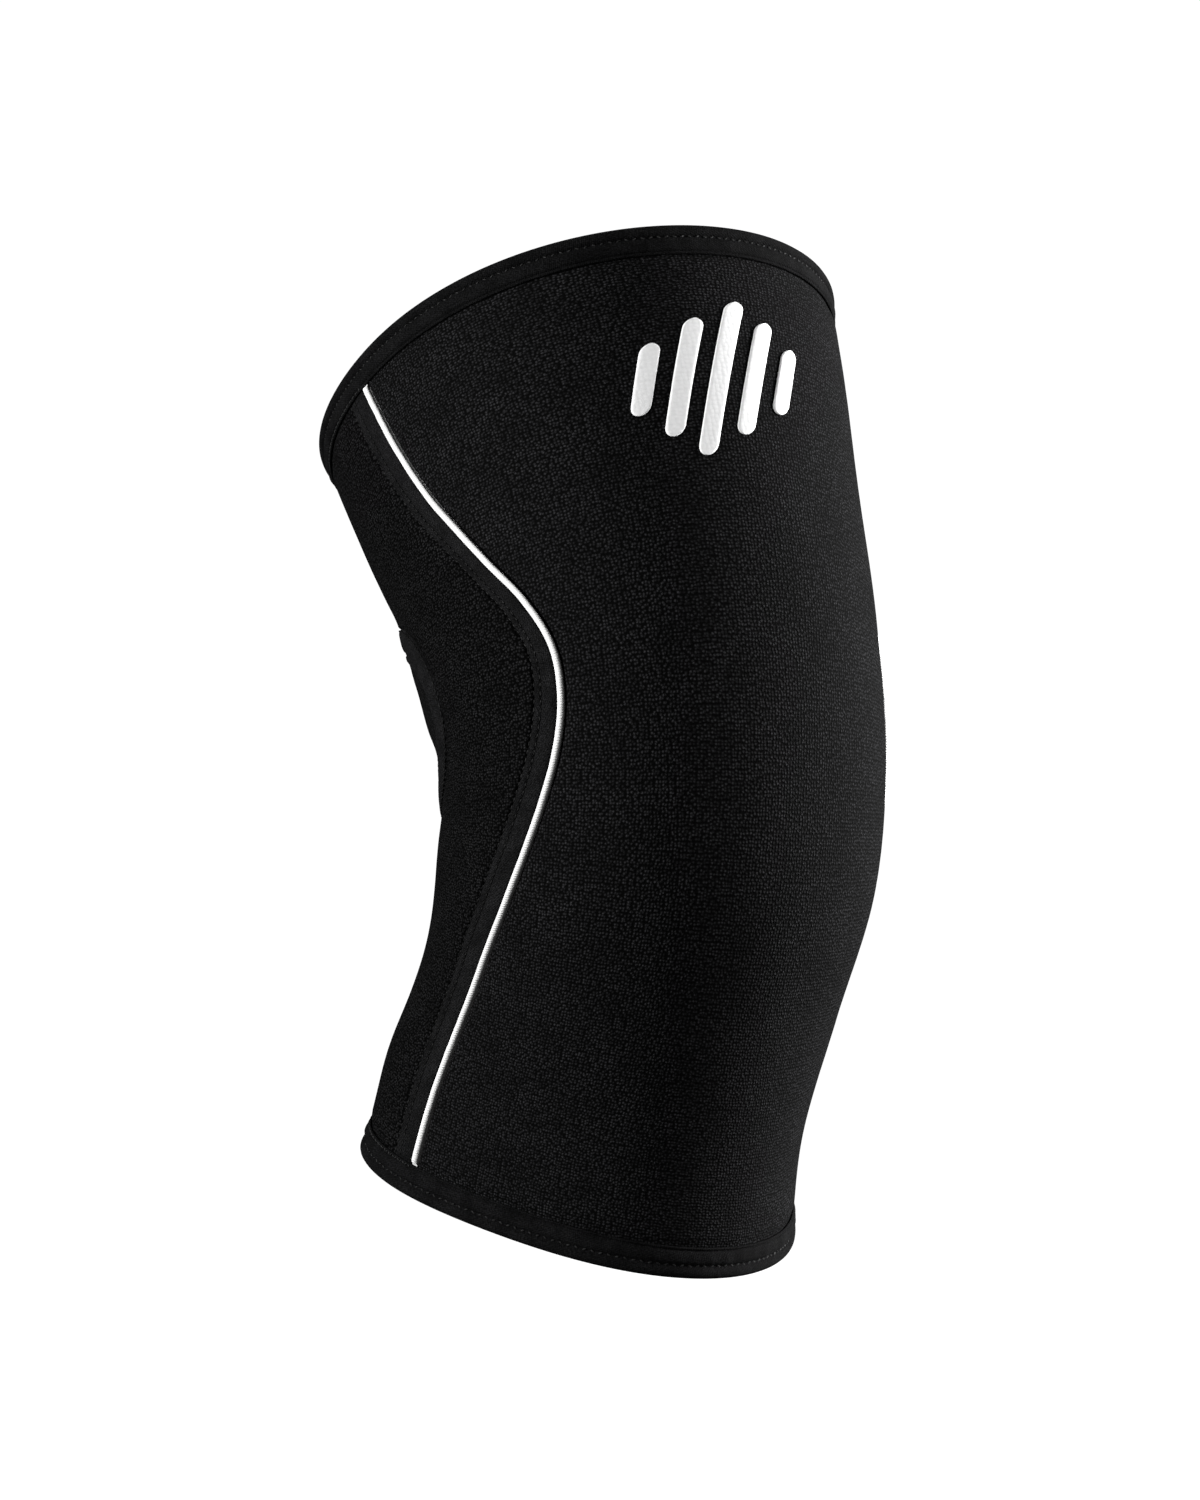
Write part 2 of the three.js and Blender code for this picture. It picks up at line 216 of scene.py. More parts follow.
def per_degree(share, angle):
    """Millimetres round the face for one degree."""
    step = outer_face(share, angle + 0.5) - outer_face(share, angle - 0.5)
    return np.linalg.norm(step, axis=-1)


def outward_at(share, angle):
    """Unit vectors out of the face."""
    up = outer_face(share + 0.002, angle) - outer_face(share - 0.002, angle)
    round_it = outer_face(share, angle + 0.5) - outer_face(share, angle - 0.5)
    out = np.cross(round_it, up)
    return out / np.linalg.norm(out, axis=-1, keepdims=True)


def place(share, angle, depth):
    """Points at a depth below the outer face. A negative depth stands proud of it."""
    share, angle, depth = np.broadcast_arrays(*(np.asarray(v, float) for v in (share, angle, depth)))
    return outer_face(share, angle) - outward_at(share, angle) * depth[..., None]


def from_rim(top, distance, angle):
    """The share at a distance in from a rim, measured along the face."""
    rim = 1.0 if top else 0.0
    step = np.asarray(distance, float) / per_share(rim, np.asarray(angle, float))
    return rim - step if top else rim + step


def waves(first, second, shortest, seed, count=14):
    """A smooth uneven surface between about -1 and 1, over two lengths in millimetres."""
    draw = np.random.default_rng(seed)
    total = 0
    for _ in range(count):
        length = shortest * draw.uniform(1, 2.6)
        heading = draw.uniform(0, 2 * math.pi)
        phase = draw.uniform(0, 2 * math.pi)
        run = first * math.cos(heading) + second * math.sin(heading)
        total = total + np.sin(2 * math.pi / length * run + phase)
    return total / math.sqrt(count) * 0.8


def ring_waves(angle, most, seed, count=10):
    """The same round a ring, so that its end meets its start."""
    draw = np.random.default_rng(seed)
    total = 0
    for _ in range(count):
        total = total + np.sin(np.radians(angle) * draw.integers(3, most) + draw.uniform(0, 2 * math.pi))
    return total / math.sqrt(count)


def line_run(line):
    """Distance along an open line at each of its points."""
    steps = np.linalg.norm(np.diff(line, axis=0), axis=1)
    return np.concatenate([[0], np.cumsum(steps)])


def ring_run(line):
    """Distance round a closed line at each of its points, and its whole length."""
    steps = np.linalg.norm(np.roll(line, -1, 0) - line, axis=1)
    return np.concatenate([[0], np.cumsum(steps)[:-1]]), steps.sum()


def outline_run(distance, depth):
    """Distance round a cross-section at each of its points."""
    return np.concatenate([[0], np.cumsum(np.hypot(np.diff(distance), np.diff(depth)))])


# Meshes


def lattice(points, marks, round_rows=False, round_columns=False, start=0):
    """Four-sided faces over a lattice of points, with their corners' places on the cloth."""
    rows, columns = points.shape[:2]
    i, j = np.meshgrid(
        np.arange(rows if round_rows else rows - 1),
        np.arange(columns if round_columns else columns - 1),
        indexing="ij",
    )
    corners = [(i, j), (i, j + 1), (i + 1, j + 1), (i + 1, j)]
    faces = np.stack([start + (a % rows) * columns + b % columns for a, b in corners], -1).reshape(-1, 4)
    at = np.stack([marks[a, b] for a, b in corners], 2).reshape(-1, 2)
    return faces, at


def new_object(name, points, faces, marks, material):
    """points is (n, 3) in millimetres. faces is a list of arrays of corners, and marks are their places."""
    mesh = bpy.data.meshes.new(name)
    corners = np.concatenate([f.ravel() for f in faces])
    sizes = np.concatenate([np.full(len(f), f.shape[1]) for f in faces])
    mesh.vertices.add(len(points))
    mesh.vertices.foreach_set("co", (np.asarray(points) * METRES).astype(np.float32).ravel())
    mesh.loops.add(len(corners))
    mesh.loops.foreach_set("vertex_index", corners.astype(np.int32))
    mesh.polygons.add(len(sizes))
    mesh.polygons.foreach_set("loop_start", np.concatenate([[0], np.cumsum(sizes)[:-1]]).astype(np.int32))
    mesh.polygons.foreach_set("loop_total", sizes.astype(np.int32))
    mesh.update(calc_edges=True)
    layer = mesh.uv_layers.new(name="cloth")
    layer.uv.foreach_set("vector", np.concatenate(marks).astype(np.float32).ravel())
    mesh.polygons.foreach_set("use_smooth", np.ones(len(sizes), bool))
    mesh.validate()
    turn_faces_out(mesh)
    mesh.materials.append(material)
    obj = bpy.data.objects.new(name, mesh)
    bpy.context.scene.collection.objects.link(obj)
    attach(obj, "root")
    return obj


def turn_faces_out(mesh):
    """Turns a closed mesh whose faces look inward."""
    corners = np.zeros(len(mesh.vertices) * 3)
    mesh.vertices.foreach_get("co", corners)
    points = corners.reshape(-1, 3)
    mesh.calc_loop_triangles()
    triangles = np.zeros(len(mesh.loop_triangles) * 3, np.int32)
    mesh.loop_triangles.foreach_get("vertices", triangles)
    a, b, c = (points[triangles.reshape(-1, 3)[:, k]] for k in range(3))
    volume = (np.cross(b, c) * a).sum()
    if volume < 0:
        mesh.flip_normals()


def slab(name, outer, inner, marks, material):
    """A closed wall between two lattices of the same size."""
    rows, columns = outer.shape[:2]
    count = rows * columns
    faces, at = lattice(outer, marks)
    back, back_at = lattice(inner, marks, start=count)
    all_faces = [faces, back[:, ::-1]]
    all_marks = [at, back_at.reshape(-1, 4, 2)[:, ::-1].reshape(-1, 2)]
    index = np.arange(count).reshape(rows, columns)
    edges = [
        (index[0], marks[0]),
        (index[-1][::-1], marks[-1][::-1]),
        (index[:, -1], marks[:, -1]),
        (index[::-1, 0], marks[::-1, 0]),
    ]
    for line, line_marks in edges:
        first = line[:-1]
        following = line[1:]
        quads = np.stack([following, first, first + count, following + count], -1)
        pair = np.stack([line_marks[1:], line_marks[:-1], line_marks[:-1], line_marks[1:]], 1)
        all_faces.append(quads)
        all_marks.append(pair.reshape(-1, 2))
    points = np.concatenate([outer.reshape(-1, 3), inner.reshape(-1, 3)])
    return new_object(name, points, all_faces, all_marks, material)


def tube(name, rings, marks, material, closed=False):
    """rings is a lattice whose columns go round an outline. An open run gets a fan at each end."""
    rows, columns = rings.shape[:2]
    faces, at = lattice(rings, marks, round_rows=closed, round_columns=True)
    points = rings.reshape(-1, 3)
    if closed:
        return new_object(name, points, [faces], [at], material)
    ends = [rings[0].mean(0), rings[-1].mean(0)]
    fans = []
    fan_marks = []
    for end, row in ((0, 0), (1, rows - 1)):
        j = np.arange(columns)
        a = row * columns + j
        b = row * columns + (j + 1) % columns
        middle = np.full(columns, len(points) + end)
        order = [middle, b, a] if end == 0 else [middle, a, b]
        fans.append(np.stack(order, -1))
        fan_marks.append(np.repeat(marks[row, :1], columns * 3, 0))
    points = np.concatenate([points, ends])
    return new_object(name, points, [faces, *fans], [at, *fan_marks], material)


def stitches(name, centres, along_it, out, length, width, height, material):
    """One small rounded thread at each centre, half sunk into the cloth."""
    steps = 6
    sides = 6
    lengthwise = np.linspace(0, math.pi, steps + 1)[1:-1]
    round_it = np.arange(sides) * 2 * math.pi / sides
    a, b = np.meshgrid(lengthwise, round_it, indexing="ij")
    fullness = np.sin(a) ** 0.7
    shape = np.stack([-np.cos(a), fullness * np.cos(b), fullness * np.sin(b)], -1).reshape(-1, 3)
    shape = np.concatenate([shape, [[-1, 0, 0], [1, 0, 0]]])
    shape = shape * [length / 2, width / 2, height]
    side = np.cross(out, along_it)
    points = (
        centres[:, None]
        + shape[None, :, :1] * along_it[:, None]
        + shape[None, :, 1:2] * side[:, None]
        + shape[None, :, 2:] * out[:, None]
    )
    quads = []
    triangles = []
    last = (steps - 2) * sides
    for j in range(sides):
        k = (j + 1) % sides
        for i in range(steps - 2):
            quads.append([i * sides + j, i * sides + k, (i + 1) * sides + k, (i + 1) * sides + j])
        triangles.append([(steps - 1) * sides, k, j])
        triangles.append([(steps - 1) * sides + 1, last + j, last + k])
    offsets = np.arange(len(centres))[:, None, None] * len(shape)
    faces = [
        (np.array(quads)[None] + offsets).reshape(-1, 4),
        (np.array(triangles)[None] + offsets).reshape(-1, 3),
    ]
    marks = []
    for f in faces:
        which = f[:, 0] // len(shape)
        marks.append(np.repeat(np.stack([which * 3.7 % 97, which * 1.3 % 61], -1), f.shape[1], 0))
    return new_object(name, points.reshape(-1, 3), faces, marks, material)


def row_of_stitches(share, angle, depth, pitch, slant):
    """Centres, directions and normals of stitches spaced evenly along a line on the face.

    slant is in degrees, to one side and the other in turn.
    """
    run = line_run(place(share, angle, depth))
    count = int(run[-1] / pitch)
    wanted = (np.arange(count) + 0.5) * run[-1] / count
    share_at = np.interp(wanted, run, share)
    angle_at = np.interp(wanted, run, angle)
    depth_at = np.interp(wanted, run, np.broadcast_to(depth, run.shape))
    ahead = place(np.interp(wanted + 0.3, run, share), np.interp(wanted + 0.3, run, angle), depth_at)
    centres = place(share_at, angle_at, depth_at)
    out = outward_at(share_at, angle_at)
    forward = ahead - centres
    forward = forward - out * (forward * out).sum(-1, keepdims=True)
    forward /= np.linalg.norm(forward, axis=-1, keepdims=True)
    side = np.cross(out, forward)
    lean = np.radians(slant) * np.where(np.arange(count) % 2, 1, -1)
    heading = forward * np.cos(lean)[:, None] + side * np.sin(lean)[:, None]
    return centres, heading, out


def joined_rows(rows):
    return tuple(np.concatenate([row[k] for row in rows]) for k in range(3))


# Materials


class Nodes:
    """A material's node tree, built one node at a time."""

    def __init__(self, name):
        self.material = bpy.data.materials.new(name)
        self.material.use_nodes = True
        self.tree = self.material.node_tree
        self.shader = self.tree.nodes["Principled BSDF"]

    def add(self, kind, inputs=None, **settings):
        node = self.tree.nodes.new(kind)
        for key, value in settings.items():
            setattr(node, key, value)
        for key, value in (inputs or {}).items():
            if isinstance(value, bpy.types.NodeSocket):
                self.tree.links.new(value, node.inputs[key])
            else:
                node.inputs[key].default_value = value
        return node

    def math(self, operation, a, b=0.0, clamp=False):
        return self.add("ShaderNodeMath", {0: a, 1: b}, operation=operation, use_clamp=clamp).outputs[0]

    def cloth(self):
        """Places on the cloth in millimetres: across, along and both as a vector."""
        vector = self.add("ShaderNodeUVMap", uv_map="cloth").outputs["UV"]
        parts = self.add("ShaderNodeSeparateXYZ", {0: vector})
        return parts.outputs[0], parts.outputs[1], vector

    def noise(self, vector, scale, detail=2.0, roughness=0.5, dimensions="2D"):
        inputs = {"Vector": vector, "Scale": scale, "Detail": detail, "Roughness": roughness}
        return self.add("ShaderNodeTexNoise", inputs, noise_dimensions=dimensions).outputs["Fac"]

    def range(self, value, low, high, new_low, new_high):
        inputs = {0: value, 1: low, 2: high, 3: new_low, 4: new_high}
        return self.add("ShaderNodeMapRange", inputs, clamp=True).outputs[0]

    def wave(self, value, length):
        """Even ridges, from 0 to 1, one in each length."""
        ridges = self.math("SINE", self.math("MULTIPLY", value, 2 * math.pi / length))
        return self.range(ridges, -1, 1, 0.0, 1.0)

    def cells(self, vector, pitch, randomness):
        """Small round cells, spaced by pitch: the distance from their middles and a colour for each."""
        inputs = {"Vector": vector, "Scale": 1 / pitch, "Randomness": randomness}
        node = self.add("ShaderNodeTexVoronoi", inputs, voronoi_dimensions="2D", feature="F1")
        return node.outputs["Distance"], node.outputs["Color"]

    def mix(self, factor, a, b):
        node = self.add("ShaderNodeMix", data_type="RGBA")
        for socket, value in ((node.inputs[0], factor), (node.inputs[6], a), (node.inputs[7], b)):
            if isinstance(value, bpy.types.NodeSocket):
                self.tree.links.new(value, socket)
            else:
                socket.default_value = value
        return node.outputs[2]

    def finish(self, color, height, bump, roughness, specular, sheen=0.0):
        """The material, with this colour and with a fine relief that follows height."""
        self.tree.links.new(color, self.shader.inputs["Base Color"])
        inputs = {"Height": height, "Strength": bump, "Distance": RELIEF}
        normal = self.add("ShaderNodeBump", inputs).outputs["Normal"]
        self.tree.links.new(normal, self.shader.inputs["Normal"])
        self.shader.inputs["Roughness"].default_value = roughness
        self.shader.inputs["Sheen Weight"].default_value = sheen
        self.shader.inputs["Sheen Roughness"].default_value = 0.4
        self.shader.inputs["Specular IOR Level"].default_value = specular
        return self.material


def grey(value, blue=1.0):
    """A grey whose blue is a little more or less than its red and green."""
    return (value, value, value * blue, 1.0)


def knit(name, pitch, dark, light, bump, randomness=0.6):
    """A close knit of small raised stitches in staggered rows, some brighter than others at random, with
    painted shade in the gaps between them and in the low parts of the yarn.
    """
    n = Nodes(name)
    _, lengthwise, vector = n.cloth()
    distance, tint = n.cells(vector, pitch, randomness)
    stitch = n.range(distance, 0.08, 0.55, 1.0, 0.0)
    rows = n.wave(lengthwise, pitch)
    yarn = n.noise(vector, 1.5 / pitch, 3.0, 0.65)
    patch = n.noise(vector, 0.07, 3.0, 0.55)
    picked = n.add("ShaderNodeSeparateColor", {0: tint}).outputs[0]
    height = n.math("ADD", n.math("MULTIPLY", stitch, 0.7), n.math("MULTIPLY", rows, 0.2))
    height = n.math("ADD", height, n.math("MULTIPLY", yarn, 0.6))
    # Painted shade: each stitch's colour darkens from its top to the gaps round it, and where the yarn is
    # low, following the relief. picked and patch vary the tone at random.
    tone = n.math("MULTIPLY", n.math("POWER", stitch, 1.4), n.range(picked, 0, 1, 0.3, 1.0))
    tone = n.math("MULTIPLY", tone, n.range(patch, 0.3, 0.7, 0.75, 1.2))
    tone = n.math("MULTIPLY", tone, n.range(yarn, 0.36, 0.66, 0.3, 1.6), clamp=True)
    return n.finish(n.mix(tone, dark, light), height, bump, 0.85, 0.03)


def taped(name, pitch, dark, light, bump):
    """A bias tape: fine slanting threads, crossed by finer ones, with a little fuzz."""
    n = Nodes(name)
    across, lengthwise, vector = n.cloth()
    slant = n.math("ADD", across, n.math("MULTIPLY", lengthwise, 0.6))
    warp = n.wave(slant, pitch)
    counter = n.math("SUBTRACT", lengthwise, n.math("MULTIPLY", across, 0.25))
    weft = n.wave(counter, pitch * 0.8)
    fuzz = n.noise(vector, 1.9, 4.0, 0.7)
    patch = n.noise(vector, 0.16, 3.0, 0.6)
    height = n.math("ADD", n.math("MULTIPLY", warp, 0.35), n.math("MULTIPLY", weft, 0.3))
    height = n.math("ADD", height, n.math("MULTIPLY", fuzz, 0.8))
    # Painted shade: the tape's colour darkens in the grooves between its threads and in the low parts of
    # the fuzz, following the relief. patch varies it at random.
    tone = n.math("MULTIPLY", n.range(fuzz, 0.38, 0.66, 0.1, 1.3), n.range(patch, 0.3, 0.7, 0.5, 1.1))
    tone = n.math("MULTIPLY", tone, n.range(warp, 0, 1, 0.6, 1.0))
    tone = n.math("MULTIPLY", tone, n.range(weft, 0, 1, 0.7, 1.0), clamp=True)
    return n.finish(n.mix(tone, dark, light), height, bump, 0.85, 0.03)


def corded(name, dark, light):
    """A white ribbed cord, its ribs crossing it."""
    n = Nodes(name)
    _, lengthwise, vector = n.cloth()
    ribs = n.wave(lengthwise, CORD_RIB)
    fuzz = n.noise(vector, 2.2, 3.0, 0.6)
    # Painted shade: the cord's colour darkens in the grooves between its ribs and in the low parts of the
    # fuzz, following the relief.
    tone = n.math("ADD", n.math("MULTIPLY", ribs, 0.5), n.range(fuzz, 0.3, 0.7, 0.1, 0.6), clamp=True)
    height = n.math("ADD", n.math("MULTIPLY", ribs, 0.6), n.math("MULTIPLY", fuzz, 0.4))
    return n.finish(n.mix(tone, dark, light), height, 0.5, 0.7, 0.3, sheen=0.1)


def printed(name, dark, light):
    """A white transfer that sinks a little into the knit under it."""
    n = Nodes(name)
    _, _, vector = n.cloth()
    distance, _ = n.cells(vector, 1.25, 0.45)
    knit_under = n.range(distance, 0.15, 0.7, 1.0, 0.0)
    fuzz = n.noise(vector, 0.9, 4.0, 0.6)
    uneven = n.range(fuzz, 0.3, 0.7, 0.35, 0.75)
    # Painted shade: the print's colour darkens over the gaps of the knit under it, following the relief.
    # uneven varies its tone at random.
    tone = n.math("ADD", n.math("MULTIPLY", knit_under, 0.35), uneven, clamp=True)
    height = n.math("ADD", n.math("MULTIPLY", knit_under, 0.5), n.math("MULTIPLY", fuzz, 0.2))
    return n.finish(n.mix(tone, dark, light), height, 0.25, 0.55, 0.35)


def thread(name, dark, light):
    """Sewing thread, no two stitches quite as bright."""
    n = Nodes(name)
    _, _, vector = n.cloth()
    position = n.add("ShaderNodeTexCoord").outputs["Object"]
    twist = n.noise(position, 2500, 2.0, 0.5, "3D")
    # Painted shade: by_twist darkens the thread along the low parts of its twist, the same noise that gives
    # its relief. by_stitch varies each stitch's tone at random.
    by_twist = n.range(twist, 0.3, 0.7, 0.4, 1.0)
    by_stitch = n.range(n.noise(vector, 0.7, 1.0, 0.5), 0.3, 0.7, 0.5, 1.0)
    tone = n.math("MULTIPLY", by_twist, by_stitch, clamp=True)
    return n.finish(n.mix(tone, dark, light), twist, 0.4, 0.5, 0.15)


# Each material mixes its dark and light colours by a tone that holds painted shade in the gaps and grooves
# of its relief, along with tone that varies at random.
front_cloth = knit("ribbed_knit", 0.95, grey(0.0011), grey(0.029, 1.06), bump=0.7)
back_cloth = knit("smooth_knit", 0.95, grey(0.0003), grey(0.0225, 1.04), bump=0.9, randomness=0.8)
insert_cloth = knit("stretch_knit", 0.86, grey(0.0006), grey(0.0225, 1.04), bump=0.6)
strip_cloth = taped("seam_tape", 0.8, grey(0.0008), grey(0.0195, 1.04), bump=0.7)
binding_cloth = taped("binding_tape", 0.7, grey(0.0007), grey(0.0120, 1.04), bump=0.5)
cord_cloth = corded("white_cord", grey(0.76, 0.985), grey(0.9, 0.99))
print_ink = printed("white_print", grey(0.70), grey(0.84))
black_thread = thread("black_thread", grey(0.0004), grey(0.0025))
grey_thread = thread("grey_thread", grey(0.005), grey(0.032))


# The side seams


STRIP_START = CORD_WIDTH / 2 + GAP  # behind the cord's middle


def seam_angle(share):
    return along(SEAM_COLUMNS, SEAM, "angle", share)


def strip_width(share):
    return STRIP_WIDTH * along(SEAM_COLUMNS, SEAM, "strip", share)


def beside_cord(share, distance):
    """The angle of a line at a distance behind a cord's middle, on the +X side."""
    angle = seam_angle(share)
    drift = (seam_angle(share + 0.01) - seam_angle(share - 0.01)) / 0.02
    slope = np.arctan2(drift * per_degree(share, angle), per_share(share, angle))
    return angle + distance / (per_degree(share, angle) * np.cos(slope))


def rim_distance(share, angle):
    """Millimetres to the nearer rim."""
    low = share * per_share(0.0, angle)
    high = (1 - share) * per_share(1.0, angle)
    return np.minimum(low, high)


# Where a panel ends inside a binding, and the depths of its two faces between the binding's leaves
PANEL_END = LEAF + GAP
PRESSED_OUTER = LEAF - BINDING_PROUD + GAP
PRESSED_INNER = WALL + BINDING_PROUD - LEAF - GAP


def pressed(depth, share, angle, soft=3.0):
    """Depths held in between a binding's leaves near a rim, with a soft shoulder beside the binding."""
    held = 1 - np.clip((rim_distance(share, angle) - BINDING_WIDTH + 0.2) / soft, 0, 1)
    held = held * held * (3 - 2 * held)
    aimed = np.clip(depth, PRESSED_OUTER, PRESSED_INNER)
    return depth + (aimed - depth) * held


def rim_to_rim(count, end=PANEL_END):
    """Shares from one rim to the other at the side, closer together beside the bindings."""
    near = np.array([end, 4.0, 7.0, 8.2, 8.7, 9.1, 9.5, 10.0, 10.6, 11.4, 12.4])
    near = near[near >= end]
    low = from_rim(False, near, 90.0)
    high = from_rim(True, near, 90.0)[::-1]
    return np.concatenate([low, np.linspace(low[-1], high[0], count)[1:-1], high])


def cord_lattice(share, distances):
    """Angles of lines beside the +X cord, a column for each distance. A distance may vary by row."""
    return np.stack([beside_cord(share, d) for d in distances], 1)


# The panels


def window_dip(share, angle):
    """How far the cloth is drawn in round the window at the hollow of the knee."""
    up = (share - WINDOW_SHARE) / WINDOW_HALF_SHARE
    round_it = (angle - 180) / WINDOW_HALF_ANGLE
    outside = (np.hypot(up, round_it) - 1) * WINDOW_HALF_SHARE * SLEEVE_HEIGHT
    return WINDOW_DIP * np.exp(-(np.clip(outside, 0, None) / 6) ** 2)


LINE_SHARES = rim_to_rim(300)
MIDDLE_COLUMNS = 60  # of a panel, between its two edges


def puckers(run, pitch, seed):
    """Small gathers along a seam, from 0 to 1, never quite even."""
    draw = np.random.default_rng(seed)
    jitter = waves(run, run * 0, pitch * 3, seed, 8) * 0.9
    depth = 0.65 + 0.35 * waves(run, run * 0, pitch * 4, draw.integers(1000), 8)
    return (0.5 + 0.5 * np.sin(2 * math.pi * run / pitch + jitter)) * np.clip(depth, 0.15, 1.2)


def panel(name, node, material, edge, turn_back, seed):
    """A panel from one side seam to the other, gathered a little along its seams and bindings.

    edge has (distance beside the cord, depth) from the joint inward. turn_back gives the far side's angles.
    """
    share = LINE_SHARES
    near_angles = cord_lattice(share, [d for d, _ in edge])
    far_angles = turn_back(near_angles)[:, ::-1]
    part = np.linspace(0, 1, MIDDLE_COLUMNS + 2)[1:-1]
    middle = near_angles[:, -1:] * (1 - part) + far_angles[:, :1] * part
    angles = np.concatenate([near_angles, middle, far_angles], 1)
    depths = np.array([d for _, d in edge])
    profile = np.concatenate([depths, np.zeros(MIDDLE_COLUMNS), depths[::-1]])
    shares = np.broadcast_to(share[:, None], angles.shape)
    across = angles * DEGREE_LENGTH
    lengthwise = shares * FRONT_LENGTH
    depth = np.broadcast_to(profile, angles.shape).copy()
    visible = np.broadcast_to((profile < 0.6).astype(float), angles.shape)
    steps = np.abs([np.mean(d) for d, _ in edge])
    near_edge = np.exp(-np.abs(steps - steps[-1] + 4) / 1.6)
    fade = np.concatenate([near_edge, np.zeros(MIDDLE_COLUMNS), near_edge[::-1]])
    near_half = np.arange(angles.shape[1]) < angles.shape[1] / 2
    near_gathers = puckers(lengthwise, STITCH_PITCH, seed)
    far_gathers = puckers(lengthwise, STITCH_PITCH, seed + 1)
    gathers = np.where(near_half, near_gathers, far_gathers)
    depth += PANEL_PUCKER * fade * gathers * visible
    away = np.clip(1 - 2 * fade, 0, 1) * (profile == 0)
    depth += PANEL_WAVE * waves(across, lengthwise, 26, seed + 2) * away
    distance = rim_distance(shares, angles)
    by_binding = np.exp(-np.clip(distance - BINDING_WIDTH, 0, None) / 1.5) * (distance > BINDING_WIDTH)
    depth += PANEL_EDGE_PUCKER * by_binding * puckers(across, STITCH_PITCH, seed + 3) * visible
    depth += window_dip(shares, angles)
    depth = pressed(depth, shares, angles)
    inner_depth = pressed(np.full(angles.shape, float(WALL)), shares, angles)
    marks = np.stack([across, lengthwise], -1)
    outer = place(shares, angles, depth)
    inner = place(shares, angles, inner_depth)
    obj = slab(name, outer, inner, marks, material)
    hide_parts(node)
    return obj


front_edge = [
    (-GAP / 2, CORD_DEPTH + GAP),
    (-1.3, CORD_DEPTH + GAP),
    (-1.32, 1.9),
    (-1.4, 1.2),
    (-1.6, 0.7),
    (-1.9, 0.36),
    (-2.3, 0.15),
    (-2.9, 0.04),
    (-3.6, 0.0),
    (-4.6, 0.0),
    (-5.8, 0.0),
]
front_panel = panel(
    "front_panel_cloth", "front_panel", front_cloth, front_edge, lambda a: -a, 11
)

ends = STRIP_START + strip_width(LINE_SHARES)
back_edge = [
    (GAP / 2, CORD_DEPTH + GAP),
    (1.24, CORD_DEPTH + GAP),
    (1.28, STRIP_DEPTH + GAP),
    (ends + 0.12, STRIP_DEPTH + GAP),
    (ends + 0.22, 1.1),
    (ends + 0.38, 0.62),
    (ends + 0.65, 0.3),
    (ends + 1.05, 0.12),
    (ends + 1.6, 0.03),
    (ends + 2.3, 0.0),
    (ends + 3.3, 0.0),
    (ends + 4.6, 0.0),
]
back_panel = panel(
    "back_panel_cloth", "back_panel", back_cloth, back_edge, lambda a: 360 - a, 23
)


# The window at the hollow of the knee


def window_at(turn, outward, part=1.0):
    """Share and angle of the window's edge, moved outward by a distance and scaled by part."""
    half_share = WINDOW_HALF_SHARE + outward / per_share(WINDOW_SHARE, 180.0)
    half_angle = WINDOW_HALF_ANGLE + outward / per_degree(WINDOW_SHARE, 180.0 - WINDOW_HALF_ANGLE)
    share = WINDOW_SHARE + part * half_share * np.sin(np.radians(turn))
    angle = 180 + part * half_angle * np.cos(np.radians(turn))
    return share, angle


def cut_window(obj):
    """Takes the window out of the back panel, with a plug that stands out of both its faces."""
    clear = 4.0
    turn = np.arange(180) * 2.0
    part = np.linspace(0.1, 1, 12)
    share, angle = window_at(turn[None], 0.0, part[:, None])
    rings = [place(share[k], angle[k], -clear) for k in range(len(part))]
    rings += [place(share[-1], angle[-1], depth) for depth in (-1.0, 1.0, 3.0, 5.0)]
    rings += [place(share[k], angle[k], WALL + clear) for k in reversed(range(len(part)))]
    rings = np.stack(rings)
    marks = np.zeros((len(rings), len(turn) + 1, 2))
    cutter = tube("window_cutter", rings, marks, back_cloth)
    cut = obj.modifiers.new("window", "BOOLEAN")
    cut.operation = "DIFFERENCE"
    cut.solver = "EXACT"
    cut.object = cutter
    depsgraph = bpy.context.evaluated_depsgraph_get()
    mesh = bpy.data.meshes.new_from_object(obj.evaluated_get(depsgraph))
    obj.modifiers.clear()
    obj.data = mesh
    bpy.data.objects.remove(cutter)


cut_window(back_panel)


def insert():
    """The insert in the window, with soft creases along the leg and small gathers at its edge."""
    turn = np.arange(220) * (360 / 220)
    part = np.sqrt(np.linspace(0.0004, 1, 46))[:, None]
    share, angle = window_at(turn[None], -INSERT_BAND_WIDTH - GAP, part)
    across = angle * DEGREE_LENGTH
    lengthwise = share * FRONT_LENGTH
    creases = waves(across * 0.35, lengthwise * 1.6, 22, 31) * np.clip(1.3 - 1.3 * part**4, 0, 1)
    gathers = puckers(turn[None] * 1.25 + 0 * part, 3.0, 33) * np.clip((part - 0.86) / 0.14, 0, 1)
    depth = INSERT_TOP + INSERT_CREASE * creases + INSERT_PUCKER * gathers
    marks = np.stack([across, lengthwise], -1)
    marks = np.concatenate([marks, marks[:, :1]], 1)
    outer = place(share, angle, depth)
    inner = place(share, angle, depth + INSERT_THICKNESS)
    rings = np.concatenate([outer, inner[::-1]])
    ring_marks = np.concatenate([marks, marks[::-1]])
    return tube("knee_insert_cloth", rings, ring_marks, insert_cloth)


knee_insert = insert()
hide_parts("knee_insert")


def cloth_marks(across, lengthwise):
    """Places on the cloth for a lattice, from those of its columns and rows."""
    return np.stack(np.broadcast_arrays(across[None], lengthwise[:, None]), -1)


def ring_gathers(run, total, pitch, jitter, uneven):
    """Even gathers round a ring, from 0 to about 1, moved by jitter and weakened or deepened by uneven."""
    count = round(total / pitch)
    gathers = 0.5 + 0.5 * np.sin(2 * math.pi * run / total * count + jitter)
    return gathers * np.clip(0.6 + 0.4 * uneven, 0.1, 1.2)


